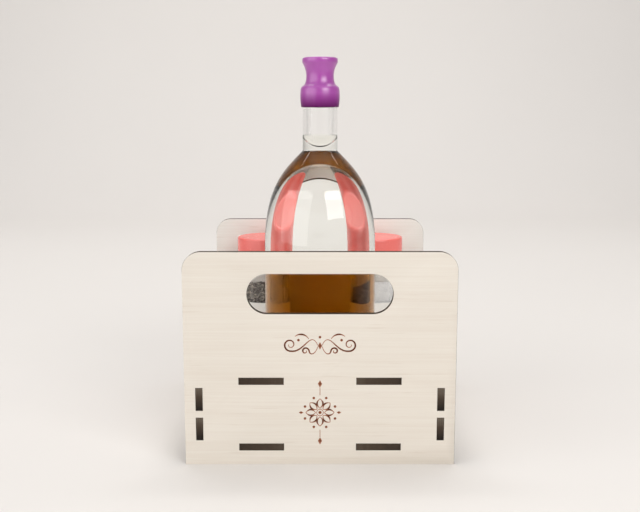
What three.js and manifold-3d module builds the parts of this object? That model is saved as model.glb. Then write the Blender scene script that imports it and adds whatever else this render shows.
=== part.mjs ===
// A plywood table caddy that carries a dressing bottle and two spice jars.
// Lengths are in millimetres and +Z is up. The front faces -Y, and the origin is on the table
// under the middle of the caddy.
import * as THREE from "three";
import { mergeVertices } from "three/addons/utils/BufferGeometryUtils.js";
import Module from "manifold-3d";

const wasm = await Module();
wasm.setup();

// Plywood and its laser-cut joints
const sheet = 4; // thickness of every board
const kerfGap = 0.1; // clearance on each side of a tab in its slot
const seatGap = 0.1; // clearance between a piece and the face that it rests on

// End panels, front and back alike
const panelWidth = 160;
const panelHeight = 128;
const panelCornerRadius = 11;
const caddyDepth = 181; // outer face of the front panel to outer face of the back panel
const handleLength = 85.3;
const handleHeight = 23.5;
const handleTopMargin = 13; // wood left above the hand hole

// Base plate, shelf plate and the two side boards held between them
const basePlateLift = 8.7; // underside of the base plate above the table
const sideHeight = 36.4; // clear height between the base plate and the shelf
const sideInset = 6.6; // outer face of a side board from the edge of the end panels
const plateInset = 2; // edge of a plate from the edge of the end panels
const plateTabLength = 26.3;
const endTabMargin = 2.3; // from a plate to the nearest end tab of a side board
const endTabGap = 4.5; // between the two end tabs of a side board
const sideTabLength = 26; // tabs of a side board that stand in the plates

// Dressing bottle
const bottleRadius = 34.5;
const bottleBodyHeight = 110.7; // straight part of the body
const bottleShoulderHeight = 61.1;
const shoulderBow = 38.7; // how far the body's line carries on into the shoulder
const shoulderRun = 12.4; // straight stretch of the shoulder under the neck, outwards
const shoulderRise = 12.5; // and the same stretch, downwards
const bottleWall = 2.2;
const bottleBaseThickness = 5;
const bottleFootRound = 5;
const bottleFootWidth = 6; // ring that the bottle stands on
const bottlePunt = 4; // push-up in the middle of the base
const neckRadius = 10.7;
const neckHeight = 26.2; // from the shoulder to the finish
const finishStep = 0.7; // ledge under the slimmer finish, where the cap rests
const finishHeight = 9;
const lipRound = 1;
const bottleFrontMargin = 6.5; // from the front panel to the bottle
const bottleHoleGap = 1.2; // clearance round the bottle in the shelf

// The two layers of the dressing
const fillGap = 0.15; // clearance between a filling and what holds it
const vinegarDrop = 8.5; // top of the heavy layer under the bottle's shoulder
const oilRise = 2.2; // top of the light layer above the foot of the neck
const meniscusDepth = 7.3;

// Bottle cap
const capWall = 1.3; // skirt at its foot
const capCollarFlare = 0.8; // how much wider the skirt is at its top
const capRoof = 1.35; // from the liner to the top of the skirt
const capStepHeight = 2.05;
const capStepRadius = 9.3;
const capWaistRadius = 8.4;
const capWaistHeight = 4.9; // from the step to the waist
const capTopRadius = 10.85;
const capFlareHeight = 8.2; // from the waist to the top rim
const capRimHeight = 2.95;
const capRimRound = 1.1;
const capDish = 0.8; // hollow of the top face
const capFit = 0.2; // clearance round the finish
const capLinerThickness = 1.2;

// Spice jars
const jarRadius = 21.7;
const jarHeight = 101.5;
const jarNeckStep = 2.1; // how much slimmer the neck is than the body
const jarNeckHeight = 18.5;
const jarShoulderHeight = 6;
const jarWall = 2.2;
const jarBaseThickness = 4;
const jarFootRound = 3;
const jarHeadroom = 2.8; // from the spice up to the jar's shoulder
const jarSideMargin = 8.1; // from the label to a side board
const jarBackMargin = 5.3; // from the label to the back panel
const jarHoleGap = 1; // clearance round the label in the shelf

// Jar label, sifter and lid
const labelThickness = 0.25;
const labelFoot = 14; // lower edge above the jar's foot
const labelHeight = 45;
const sifterFlange = 1;
const sifterDeck = 1.4; // thickness of the pierced deck
const sifterWall = 1.2;
const sifterDepth = 6;
const sifterFit = 0.2; // clearance in the jar's mouth
const pepperHoleRadius = 1.7;
const pepperHoleCount = 6;
const saltHoleRadius = 1.3;
const saltHoleCount = 9;
const sifterHoleCircle = 9.5; // radius of the ring of holes
const sifterMouthRadius = 3.2; // wide hole in the middle of the ring
const lidWall = 1.8;
const lidHeight = 20;
const lidTop = 1.8;
const lidEdgeRound = 1.6;
const lidFit = 0.4; // clearance round the jar's neck
const lidLinerThickness = 0.8;

// Steps of the curved faces and outlines
const bottleSides = 30;
const jarSides = 24;
const profileSteps = 4;
const outlineSteps = 10;
const weldDistance = 1e-4; // corners nearer than this are one

// Places that follow from the sizes above
const innerFaceY = caddyDepth / 2 - sheet;
const boardEndY = innerFaceY - seatGap;
const basePlateTop = basePlateLift + sheet;
const shelfBottom = basePlateTop + sideHeight;
const sideX = panelWidth / 2 - sideInset - sheet / 2;
const clearHalfWidth = sideX - sheet / 2;
const plateTabX = clearHalfWidth / 2;
const sideTabY = innerFaceY / 2;
const endTabLength = (sideHeight - 2 * endTabMargin - endTabGap) / 2;
const endTabOffset = (endTabLength + endTabGap) / 2;
const standZ = basePlateTop + seatGap;
const labelRadius = jarRadius + fillGap + labelThickness;
const bottleY = bottleFrontMargin + bottleRadius - innerFaceY;
const jarX = clearHalfWidth - jarSideMargin - labelRadius;
const jarY = innerFaceY - jarBackMargin - labelRadius;
const neckFoot = bottleBodyHeight + bottleShoulderHeight;
const finishFoot = neckFoot + neckHeight;
const finishRadius = neckRadius - finishStep;
const bottleLip = finishFoot + finishHeight;
const vinegarLevel = bottleBodyHeight - vinegarDrop;
const oilLevel = neckFoot + oilRise;
const capLinerFoot = bottleLip + seatGap;
const capFoot = finishFoot + seatGap;
const capCeiling = capLinerFoot + capLinerThickness + seatGap - capFoot;
const jarNeckRadius = jarRadius - jarNeckStep;
const jarShoulderTop = jarHeight - jarNeckHeight;
const jarShoulderFoot = jarShoulderTop - jarShoulderHeight;
const jarFill = jarShoulderFoot - jarHeadroom;

const plywood = new THREE.MeshStandardMaterial({ color: 0xe4dacc, roughness: 0.7 });
const clearGlass = new THREE.MeshStandardMaterial({
  color: 0xe8efec,
  roughness: 0.05,
  transparent: true,
  opacity: 0.35,
});
const amberVinegar = new THREE.MeshStandardMaterial({ color: 0x8a4a06, roughness: 0.1 });
const paleOil = new THREE.MeshStandardMaterial({
  color: 0xf2eedd,
  roughness: 0.05,
  transparent: true,
  opacity: 0.4,
});
const purplePlastic = new THREE.MeshStandardMaterial({ color: 0xae57ac, roughness: 0.35 });
const redPlastic = new THREE.MeshStandardMaterial({ color: 0xe35c55, roughness: 0.35 });
const whitePlastic = new THREE.MeshStandardMaterial({ color: 0xf0eee8, roughness: 0.5 });
const labelPaper = new THREE.MeshStandardMaterial({ color: 0xf4f2ee, roughness: 0.8 });
const pepperGrain = new THREE.MeshStandardMaterial({ color: 0x2c2824, roughness: 0.95 });
const saltGrain = new THREE.MeshStandardMaterial({ color: 0xe9e7e4, roughness: 0.9 });

function namedMesh(name, geometry, material) {
  const mesh = new THREE.Mesh(geometry, material);
  mesh.name = name;
  return mesh;
}

// A solid of revolution about Z. The profile runs anticlockwise as (radius, height).
function turned(profile, sides) {
  return new THREE.LatheGeometry(profile, sides).rotateX(Math.PI / 2);
}

function toSolid(geometry) {
  const bare = geometry.clone();
  bare.deleteAttribute("normal");
  bare.deleteAttribute("uv");
  const merged = mergeVertices(bare, weldDistance);
  return new wasm.Manifold(
    new wasm.Mesh({
      numProp: 3,
      vertProperties: merged.attributes.position.array,
      triVerts: new Uint32Array(merged.index.array),
    }),
  );
}

function fromSolid(solid) {
  const mesh = solid.getMesh();
  const geometry = new THREE.BufferGeometry();
  geometry.setAttribute("position", new THREE.BufferAttribute(mesh.vertProperties, 3));
  geometry.setIndex(new THREE.BufferAttribute(mesh.triVerts, 1));
  geometry.computeVertexNormals();
  return geometry;
}

function extruded(shape, depth) {
  return new THREE.ExtrudeGeometry(shape, {
    depth,
    bevelEnabled: false,
    curveSegments: outlineSteps,
  });
}

// A board of the sheet's thickness on z = 0, with its holes cut right through.
function board(outline, holes) {
  let solid = toSolid(extruded(outline, sheet));
  for (const hole of holes) {
    const cutter = extruded(hole, 3 * sheet).translate(0, 0, -sheet);
    solid = solid.subtract(toSolid(cutter));
  }
  return fromSolid(solid);
}

// A rectangle with tabs on its edges. tabsX are the middles of the tabs that stand out of the
// two X edges, and tabsY those of the two Y edges. Both lists are symmetric and in rising order.
function tabbedOutline(halfX, halfY, tabsX, lengthX, tabsY, lengthY) {
  const reach = sheet + seatGap;
  const half = [new THREE.Vector2(-halfX, -halfY)];
  for (const middle of tabsY) {
    const from = middle - lengthY / 2;
    const to = middle + lengthY / 2;
    half.push(new THREE.Vector2(from, -halfY));
    half.push(new THREE.Vector2(from, -halfY - reach));
    half.push(new THREE.Vector2(to, -halfY - reach));
    half.push(new THREE.Vector2(to, -halfY));
  }
  half.push(new THREE.Vector2(halfX, -halfY));
  for (const middle of tabsX) {
    const from = middle - lengthX / 2;
    const to = middle + lengthX / 2;
    half.push(new THREE.Vector2(halfX, from));
    half.push(new THREE.Vector2(halfX + reach, from));
    half.push(new THREE.Vector2(halfX + reach, to));
    half.push(new THREE.Vector2(halfX, to));
  }
  return new THREE.Shape([...half, ...half.map((point) => point.clone().negate())]);
}

// A slot for a tab of the given size, with the kerf's clearance all round.
function slot(x, y, lengthX, lengthY) {
  const halfX = lengthX / 2 + kerfGap;
  const halfY = lengthY / 2 + kerfGap;
  return new THREE.Shape([
    new THREE.Vector2(x - halfX, y - halfY),
    new THREE.Vector2(x + halfX, y - halfY),
    new THREE.Vector2(x + halfX, y + halfY),
    new THREE.Vector2(x - halfX, y + halfY),
  ]);
}

function roundHole(x, y, radius) {
  return new THREE.Shape().absarc(x, y, radius, 0, 2 * Math.PI, false);
}

// The upright end of the caddy, drawn with X across and Y up.
function endPanel() {
  const half = panelWidth / 2;
  const r = panelCornerRadius;
  const outline = new THREE.Shape();
  outline.moveTo(-half, 0);
  outline.lineTo(half, 0);
  outline.lineTo(half, panelHeight - r);
  outline.absarc(half - r, panelHeight - r, r, 0, Math.PI / 2, false);
  outline.absarc(r - half, panelHeight - r, r, Math.PI / 2, Math.PI, false);

  const gripRound = handleHeight / 2;
  const gripX = handleLength / 2 - gripRound;
  const gripZ = panelHeight - handleTopMargin - gripRound;
  const grip = new THREE.Shape();
  grip.absarc(gripX, gripZ, gripRound, -Math.PI / 2, Math.PI / 2, false);
  grip.absarc(-gripX, gripZ, gripRound, Math.PI / 2, (3 * Math.PI) / 2, false);

  const holes = [grip];
  const sideMiddle = basePlateTop + sideHeight / 2;
  for (const side of [-1, 1]) {
    holes.push(slot(side * plateTabX, basePlateLift + sheet / 2, plateTabLength, sheet));
    holes.push(slot(side * plateTabX, shelfBottom + sheet / 2, plateTabLength, sheet));
    for (const level of [-endTabOffset, endTabOffset])
      holes.push(slot(side * sideX, sideMiddle + level, sheet, endTabLength));
  }
  return board(outline, holes);
}

// A level plate with tabs for the end panels, slots for the side boards and any other holes.
function plate(otherHoles) {
  const halfX = panelWidth / 2 - plateInset;
  const tabs = [-plateTabX, plateTabX];
  const outline = tabbedOutline(halfX, boardEndY, [], 0, tabs, plateTabLength);
  const holes = [...otherHoles];
  for (const x of [-sideX, sideX])
    for (const y of [-sideTabY, sideTabY]) holes.push(slot(x, y, sheet, sideTabLength));
  return board(outline, holes);
}

function shelfHoles() {
  const jarHole = labelRadius + jarHoleGap;
  return [
    roundHole(0, bottleY, bottleRadius + bottleHoleGap),
    roundHole(-jarX, jarY, jarHole),
    roundHole(jarX, jarY, jarHole),
  ];
}

// A side board, drawn with its length along X and its height along Y, about its middle.
function sideBoard() {
  const halfY = sideHeight / 2 - seatGap;
  const endTabs = [-endTabOffset, endTabOffset];
  const plateTabs = [-sideTabY, sideTabY];
  return board(
    tabbedOutline(boardEndY, halfY, endTabs, endTabLength, plateTabs, sideTabLength),
    [],
  );
}

function makeCaddy() {
  const caddy = new THREE.Group();
  const panelGeometry = endPanel();
  const ends = [
    ["front_panel", -innerFaceY],
    ["back_panel", caddyDepth / 2],
  ];
  for (const [name, y] of ends) {
    const panel = namedMesh(name, panelGeometry, plywood);
    panel.rotation.x = Math.PI / 2;
    panel.position.y = y;
    caddy.add(panel);
  }

  const basePlate = namedMesh("base_plate", plate([]), plywood);
  basePlate.position.z = basePlateLift;
  const shelf = namedMesh("shelf_plate", plate(shelfHoles()), plywood);
  shelf.position.z = shelfBottom;
  caddy.add(basePlate, shelf);

  const sideGeometry = sideBoard();
  const sides = [
    ["left_side_board", -sideX],
    ["right_side_board", sideX],
  ];
  for (const [name, x] of sides) {
    const side = namedMesh(name, sideGeometry, plywood);
    side.rotation.set(Math.PI / 2, Math.PI / 2, 0);
    side.position.set(x - sheet / 2, 0, basePlateTop + sideHeight / 2);
    caddy.add(side);
  }
  return caddy;
}

// Carries a path from the body of the bottle up to the foot of the neck, set in from the outside.
function bottleShoulder(path, inset) {
  const body = bottleRadius - inset;
  const neck = neckRadius - inset;
  path.lineTo(body, bottleBodyHeight);
  path.bezierCurveTo(
    body,
    bottleBodyHeight + shoulderBow,
    neck + shoulderRun,
    neckFoot - shoulderRise,
    neck,
    neckFoot,
  );
}

// Starts a path on the axis and carries it over the floor of the bottle's hollow to its wall.
function bottleFloor(inset) {
  const floor = bottleBaseThickness + inset - bottleWall;
  const wall = bottleRadius - inset;
  const round = bottleFootRound - inset / 2;
  const path = new THREE.Path();
  path.moveTo(0, floor + bottlePunt);
  path.quadraticCurveTo(wall / 2, floor + bottlePunt, wall - round - bottleFootWidth, floor);
  path.lineTo(wall - round, floor);
  path.quadraticCurveTo(wall, floor, wall, floor + round);
  return path;
}

function bottleGlassProfile() {
  const outside = new THREE.Path();
  const ring = bottleRadius - bottleFootRound;
  outside.moveTo(0, bottlePunt);
  outside.quadraticCurveTo(bottleRadius / 2, bottlePunt, ring - bottleFootWidth, 0);
  outside.lineTo(ring, 0);
  outside.quadraticCurveTo(bottleRadius, 0, bottleRadius, bottleFootRound);
  bottleShoulder(outside, 0);
  outside.lineTo(neckRadius, finishFoot);
  outside.lineTo(finishRadius, finishFoot);
  outside.lineTo(finishRadius, bottleLip - lipRound);
  outside.quadraticCurveTo(finishRadius, bottleLip, finishRadius - lipRound, bottleLip);

  const inside = bottleFloor(bottleWall);
  bottleShoulder(inside, bottleWall);
  const bore = finishRadius - bottleWall;
  inside.lineTo(neckRadius - bottleWall, finishFoot - neckRadius + finishRadius);
  inside.lineTo(bore, finishFoot);
  inside.lineTo(bore, bottleLip);
  return [...outside.getPoints(profileSteps), ...inside.getPoints(profileSteps).reverse()];
}

function vinegarProfile() {
  const path = bottleFloor(bottleWall + fillGap);
  path.lineTo(bottleRadius - bottleWall - fillGap, vinegarLevel);
  path.lineTo(0, vinegarLevel);
  return path.getPoints(profileSteps);
}

function oilProfile() {
  const inset = bottleWall + fillGap;
  const foot = vinegarLevel + fillGap;
  const neck = neckRadius - inset;
  const path = new THREE.Path();
  path.moveTo(0, foot);
  path.lineTo(bottleRadius - inset, foot);
  bottleShoulder(path, inset);
  path.lineTo(neck, oilLevel + meniscusDepth);
  path.quadraticCurveTo(neck, oilLevel, 0, oilLevel);
  return path.getPoints(profileSteps);
}

// The cap: a skirt over the finish, a step in to a slim waist, and a rim to pull on.
function capProfile() {
  const grip = finishRadius + capFit;
  const foot = grip + capWall;
  const collar = capCeiling + capRoof;
  const step = collar + capStepHeight;
  const waist = step + capWaistHeight;
  const rim = waist + capFlareHeight;
  const top = rim + capRimHeight;
  const path = new THREE.Path();
  path.moveTo(0, capCeiling);
  path.lineTo(grip, capCeiling);
  path.lineTo(grip, 0);
  path.lineTo(foot, 0);
  path.lineTo(foot + capCollarFlare, collar);
  path.lineTo(capStepRadius, step);
  path.quadraticCurveTo(capWaistRadius, step + capWaistHeight / 2, capWaistRadius, waist);
  path.quadraticCurveTo(capWaistRadius, rim - capFlareHeight / 2, capTopRadius, rim);
  path.lineTo(capTopRadius, top - capRimRound);
  path.quadraticCurveTo(capTopRadius, top, capTopRadius - capRimRound, top);
  path.quadraticCurveTo(capTopRadius / 2, top - capDish, 0, top - capDish);
  return path.getPoints(profileSteps);
}

// A plain disc with its underside at z = 0.
function discProfile(radius, thickness) {
  return [
    new THREE.Vector2(0, 0),
    new THREE.Vector2(radius, 0),
    new THREE.Vector2(radius, thickness),
    new THREE.Vector2(0, thickness),
  ];
}

function makeBottle() {
  const bottle = new THREE.Group();
  bottle.position.set(0, bottleY, standZ);
  const capLiner = namedMesh(
    "cap_liner",
    turned(discProfile(finishRadius, capLinerThickness), bottleSides),
    whitePlastic,
  );
  capLiner.position.z = capLinerFoot;
  const cap = namedMesh("bottle_cap", turned(capProfile(), bottleSides), purplePlastic);
  cap.position.z = capFoot;
  bottle.add(
    namedMesh("bottle_glass", turned(bottleGlassProfile(), bottleSides), clearGlass),
    namedMesh("vinegar", turned(vinegarProfile(), bottleSides), amberVinegar),
    namedMesh("oil", turned(oilProfile(), bottleSides), paleOil),
    capLiner,
    cap,
  );
  return bottle;
}

// Carries a path up a jar's body, over its shoulder and up its neck, set in from the outside.
function jarWallPath(path, inset) {
  const body = jarRadius - inset;
  const neck = jarNeckRadius - inset;
  const middle = (jarShoulderFoot + jarShoulderTop) / 2;
  path.lineTo(body, jarShoulderFoot);
  path.bezierCurveTo(body, middle, neck, middle, neck, jarShoulderTop);
  path.lineTo(neck, jarHeight);
}

function jarGlassProfile() {
  const outside = new THREE.Path();
  outside.moveTo(0, 0);
  outside.lineTo(jarRadius - jarFootRound, 0);
  outside.quadraticCurveTo(jarRadius, 0, jarRadius, jarFootRound);
  jarWallPath(outside, 0);

  const inside = new THREE.Path();
  const wall = jarRadius - jarWall;
  const round = jarFootRound / 2;
  inside.moveTo(0, jarBaseThickness);
  inside.lineTo(wall - round, jarBaseThickness);
  inside.quadraticCurveTo(wall, jarBaseThickness, wall, jarBaseThickness + round);
  jarWallPath(inside, jarWall);
  return [...outside.getPoints(profileSteps), ...inside.getPoints(profileSteps).reverse()];
}

function spiceProfile() {
  const foot = jarBaseThickness + fillGap;
  const wall = jarRadius - jarWall - fillGap;
  const round = jarFootRound / 2;
  const path = new THREE.Path();
  path.moveTo(0, foot);
  path.lineTo(wall - round, foot);
  path.quadraticCurveTo(wall, foot, wall, foot + round);
  path.lineTo(wall, jarFill);
  path.lineTo(0, jarFill);
  return path.getPoints(profileSteps);
}

function labelProfile() {
  const inner = jarRadius + fillGap;
  const top = labelFoot + labelHeight;
  return [
    new THREE.Vector2(inner, labelFoot),
    new THREE.Vector2(labelRadius, labelFoot),
    new THREE.Vector2(labelRadius, top),
    new THREE.Vector2(inner, top),
    new THREE.Vector2(inner, labelFoot),
  ];
}

// The sifter's flange rests on the jar's lip at z = 0 and its skirt hangs in the mouth.
function sifterGeometry(holeRadius, holeCount) {
  const skirt = jarNeckRadius - jarWall - sifterFit;
  const deck = sifterFlange - sifterDeck;
  const body = turned(
    [
      new THREE.Vector2(0, deck),
      new THREE.Vector2(skirt - sifterWall, deck),
      new THREE.Vector2(skirt - sifterWall, -sifterDepth),
      new THREE.Vector2(skirt, -sifterDepth),
      new THREE.Vector2(skirt, 0),
      new THREE.Vector2(jarNeckRadius, 0),
      new THREE.Vector2(jarNeckRadius, sifterFlange),
      new THREE.Vector2(0, sifterFlange),
    ],
    jarSides,
  );
  let solid = toSolid(body);
  const drillAt = (radius, x, y) => {
    const drill = turned(discProfile(radius, 3 * sifterDeck), outlineSteps);
    drill.translate(x, y, deck - sifterDeck);
    solid = solid.subtract(toSolid(drill));
  };
  drillAt(sifterMouthRadius, 0, 0);
  for (let i = 0; i < holeCount; i++) {
    const angle = (2 * Math.PI * i) / holeCount;
    drillAt(holeRadius, sifterHoleCircle * Math.cos(angle), sifterHoleCircle * Math.sin(angle));
  }
  return fromSolid(solid);
}

function lidProfile() {
  const inner = jarNeckRadius + lidFit;
  const outer = inner + lidWall;
  const ceiling = lidHeight - lidTop;
  const path = new THREE.Path();
  path.moveTo(0, ceiling);
  path.lineTo(inner, ceiling);
  path.lineTo(inner, 0);
  path.lineTo(outer, 0);
  path.lineTo(outer, lidHeight - lidEdgeRound);
  path.quadraticCurveTo(outer, lidHeight, outer - lidEdgeRound, lidHeight);
  path.lineTo(0, lidHeight);
  return path.getPoints(profileSteps);
}

function makeJar(spice, x, spiceMaterial, holeRadius, holeCount) {
  const jar = new THREE.Group();
  jar.position.set(x, jarY, standZ);
  const sifter = namedMesh(
    `${spice}_sifter`,
    sifterGeometry(holeRadius, holeCount),
    whitePlastic,
  );
  sifter.position.z = jarHeight + seatGap;
  const liner = namedMesh(
    `${spice}_lid_liner`,
    turned(discProfile(jarNeckRadius, lidLinerThickness), jarSides),
    whitePlastic,
  );
  liner.position.z = sifter.position.z + sifterFlange + seatGap;
  const lid = namedMesh(`${spice}_lid`, turned(lidProfile(), jarSides), redPlastic);
  lid.position.z = liner.position.z + lidLinerThickness + seatGap + lidTop - lidHeight;
  jar.add(
    namedMesh(`${spice}_jar_glass`, turned(jarGlassProfile(), jarSides), clearGlass),
    namedMesh(`${spice}_fill`, turned(spiceProfile(), jarSides), spiceMaterial),
    namedMesh(`${spice}_label`, turned(labelProfile(), jarSides), labelPaper),
    sifter,
    liner,
    lid,
  );
  return jar;
}

const organizer = new THREE.Group();
organizer.add(
  makeCaddy(),
  makeBottle(),
  makeJar("pepper", -jarX, pepperGrain, pepperHoleRadius, pepperHoleCount),
  makeJar("salt", jarX, saltGrain, saltHoleRadius, saltHoleCount),
);

export default organizer;
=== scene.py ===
import bpy
import math
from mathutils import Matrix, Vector


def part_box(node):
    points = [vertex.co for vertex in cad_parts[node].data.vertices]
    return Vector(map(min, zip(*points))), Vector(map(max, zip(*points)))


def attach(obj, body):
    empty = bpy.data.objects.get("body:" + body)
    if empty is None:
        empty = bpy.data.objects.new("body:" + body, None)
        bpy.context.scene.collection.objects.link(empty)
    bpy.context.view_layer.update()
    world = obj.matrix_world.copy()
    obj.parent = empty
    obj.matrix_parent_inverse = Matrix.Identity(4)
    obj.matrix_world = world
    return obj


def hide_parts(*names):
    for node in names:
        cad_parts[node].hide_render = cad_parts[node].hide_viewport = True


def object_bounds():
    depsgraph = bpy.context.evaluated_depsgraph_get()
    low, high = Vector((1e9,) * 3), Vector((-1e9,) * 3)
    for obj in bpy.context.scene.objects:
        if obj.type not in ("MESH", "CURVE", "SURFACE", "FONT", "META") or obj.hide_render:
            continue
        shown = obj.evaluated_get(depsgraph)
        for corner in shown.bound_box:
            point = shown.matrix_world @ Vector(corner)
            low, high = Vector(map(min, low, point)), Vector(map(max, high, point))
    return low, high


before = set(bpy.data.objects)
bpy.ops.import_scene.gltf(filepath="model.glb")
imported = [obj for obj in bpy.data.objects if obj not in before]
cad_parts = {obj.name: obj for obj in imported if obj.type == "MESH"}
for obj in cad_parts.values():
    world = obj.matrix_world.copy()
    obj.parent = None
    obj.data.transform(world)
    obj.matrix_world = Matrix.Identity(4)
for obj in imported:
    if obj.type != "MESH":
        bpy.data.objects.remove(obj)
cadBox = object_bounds()
bpy.context.scene.view_settings.view_transform = "Standard"
mm = 0.001  # the dictionaries below are in millimetres, degrees and repeats in a metre
print("frame loaded,", len(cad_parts), "nodes")


# Shader maths: a wire is one output socket, and arithmetic on wires adds Math nodes
class Wire:
    def __init__(self, finish, socket):
        self.finish = finish
        self.socket = socket

    def maths(self, operation, first, second):
        return self.finish.node("ShaderNodeMath", {"operation": operation}, {0: first, 1: second})

    def __add__(self, other):
        return self.maths("ADD", self, other)

    def __sub__(self, other):
        return self.maths("SUBTRACT", self, other)

    def __rsub__(self, other):
        return self.maths("SUBTRACT", other, self)

    def __mul__(self, other):
        return self.maths("MULTIPLY", self, other)

    def __truediv__(self, other):
        return self.maths("DIVIDE", self, other)

    def __mod__(self, other):
        return self.maths("FLOORED_MODULO", self, other)

    def __abs__(self):
        return self.maths("ABSOLUTE", self, 0)

    __radd__ = __add__
    __rmul__ = __mul__


# A material, or the world, with the shader that its wires feed
class Finish:
    def __init__(self, name, constants, kinds=bpy.data.materials, shader="Principled BSDF"):
        self.material = kinds.new(name)
        self.material.use_nodes = True
        self.tree = self.material.node_tree
        self.shader = self.tree.nodes[shader]
        for socket, value in constants.items():
            self.shader.inputs[socket].default_value = value

    def node(self, kind, settings=None, sockets=None, output=0):
        made = self.tree.nodes.new(kind)
        for setting, value in (settings or {}).items():
            if setting == "stops":
                self.setStops(made.color_ramp.elements, value)
            else:
                setattr(made, setting, value)
        for socket, value in (sockets or {}).items():
            self.plug(made.inputs[socket], value)
        return Wire(self, made.outputs[output])

    def setStops(self, elements, stops):
        while len(elements) < len(stops):
            elements.new(1)
        for element, (position, level) in zip(elements, stops):
            element.position = position
            element.color = (level, level, level, 1)

    def plug(self, socket, value):
        if isinstance(value, Wire):
            self.tree.links.new(value.socket, socket)
        else:
            socket.default_value = value

    def feed(self, socket, value):
        self.plug(self.shader.inputs[socket], value)

    def place(self, scale, shift=(0, 0, 0)):
        where = self.node("ShaderNodeTexCoord", output="Object")
        return self.node("ShaderNodeMapping", None, {"Vector": where, "Location": shift, "Scale": scale})

    def axis(self, letter):
        where = self.node("ShaderNodeTexCoord", output="Object")
        return self.node("ShaderNodeSeparateXYZ", None, {"Vector": where}, letter)

    def noise(self, scale, detail=2, rough=0.5, shift=(0, 0, 0)):
        sockets = {"Vector": self.place(scale, shift), "Scale": 1, "Detail": detail, "Roughness": rough}
        return self.node("ShaderNodeTexNoise", None, sockets)

    def ramp(self, wire, stops):
        return self.node("ShaderNodeValToRGB", {"stops": stops}, {"Fac": wire})

    def between(self, wire, low, high):
        sockets = {"Value": wire, "From Min": low, "From Max": high}
        return self.node("ShaderNodeMapRange", {"clamp": True}, sockets)

    def mix(self, share, first, second):
        return self.node("ShaderNodeMix", {"data_type": "RGBA"}, {0: share, 6: first, 7: second}, 2)

    def bump(self, height, depth):
        sockets = {"Height": height, "Distance": depth * mm, "Strength": 1}
        self.feed("Normal", self.node("ShaderNodeBump", None, sockets))


# A colour as it is read off a screen, made linear
def paint(red, green, blue):
    def linear(level):
        share = level / 255
        return share / 12.92 if share <= 0.04045 else ((share + 0.055) / 1.055) ** 2.4

    return (linear(red), linear(green), linear(blue), 1)


white = (1, 1, 1, 1)

# Modelling helpers
shaping = {
    "merge": 0.002, "mergeCuts": 0.001,
    "flatWithin": 1,  # faces that turn less than this from each other are made one
    "smoothWithin": 40, "boardSmoothWithin": 30,
}


def clearSelection():
    bpy.ops.object.select_all(action="DESELECT")


def activate(piece):
    clearSelection()
    piece.select_set(True)
    bpy.context.view_layer.objects.active = piece


# Into edit mode, with the whole mesh of the active piece selected
def editAll():
    bpy.ops.object.mode_set(mode="EDIT")
    bpy.ops.mesh.select_all(action="SELECT")


def smooth(within):
    bpy.ops.object.shade_smooth_by_angle(angle=math.radians(within))


# Points along a Bezier line of any degree, without its first handle
def bow(*handles, steps=10):
    points = []
    for i in range(1, steps + 1):
        share = i / steps
        row = list(handles)
        while len(row) > 1:
            row = [
                (a[0] + (b[0] - a[0]) * share, a[1] + (b[1] - a[1]) * share)
                for a, b in zip(row, row[1:])
            ]
        points.append(row[0])
    return points


# A profile of (radius, height) is drawn point by point and spun about the upright axis
def turnPiece(name, profile, centre, steps=96):
    clearSelection()
    bpy.ops.mesh.primitive_plane_add(size=mm)
    piece = bpy.context.object
    piece.name = name
    bpy.ops.object.mode_set(mode="EDIT")
    bpy.ops.mesh.merge(type="CENTER")
    radius, height = profile[0]
    bpy.ops.transform.translate(value=(centre.x + radius * mm, centre.y, centre.z + height * mm))
    for nextRadius, nextHeight in profile[1:]:
        reach = ((nextRadius - radius) * mm, 0, (nextHeight - height) * mm)
        bpy.ops.mesh.extrude_region_move(TRANSFORM_OT_translate={"value": reach})
        radius, height = nextRadius, nextHeight
    bpy.ops.mesh.select_all(action="SELECT")
    bpy.ops.mesh.spin(steps=steps, angle=2 * math.pi, center=centre, axis=(0, 0, 1))
    bpy.ops.mesh.select_all(action="SELECT")
    bpy.ops.mesh.remove_doubles(threshold=shaping["merge"] * mm)
    bpy.ops.mesh.normals_make_consistent(inside=False)
    bpy.ops.object.mode_set(mode="OBJECT")
    smooth(shaping["smoothWithin"])
    return piece


def cutWith(piece, cutter):
    cut = piece.modifiers.new("cut", "BOOLEAN")
    cut.operation = "DIFFERENCE"
    cut.solver = "MANIFOLD"
    cut.object = cutter
    activate(piece)
    bpy.ops.object.modifier_apply(modifier=cut.name)
    bpy.data.objects.remove(cutter)


# A cut leaves slivers along its edge: made triangles first, they merge away
def cleanCuts(piece):
    activate(piece)
    editAll()
    bpy.ops.mesh.quads_convert_to_tris()
    bpy.ops.mesh.remove_doubles(threshold=shaping["mergeCuts"] * mm)
    bpy.ops.object.mode_set(mode="OBJECT")


def settle(piece, node, body, slot, *finishes):
    piece.data.materials.clear()
    for finish in finishes:
        piece.data.materials.append(finish.material)
    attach(piece, body)
    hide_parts(node)


# The axis of a turned node, at the height of its foot
def standOf(node):
    low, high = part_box(node)
    return Vector(((low.x + high.x) / 2, (low.y + high.y) / 2, low.z))


# Camera at the height and distance of the photograph
cameraSet = {
    "x": 0, "y": -596.81, "z": 201.83, "pitchDown": 8.557,
    "lens": 50, "sensor": 36, "clipStart": 10,
}


def makeCamera():
    place = [cameraSet[letter] * mm for letter in "xyz"]
    tilt = math.radians(90 - cameraSet["pitchDown"])
    bpy.ops.object.camera_add(location=place, rotation=(tilt, 0, 0))
    camera = bpy.context.object
    camera.data.lens = cameraSet["lens"]
    camera.data.sensor_width = cameraSet["sensor"]
    camera.data.clip_start = cameraSet["clipStart"] * mm
    bpy.context.scene.camera = camera


makeCamera()
print("camera set")


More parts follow.
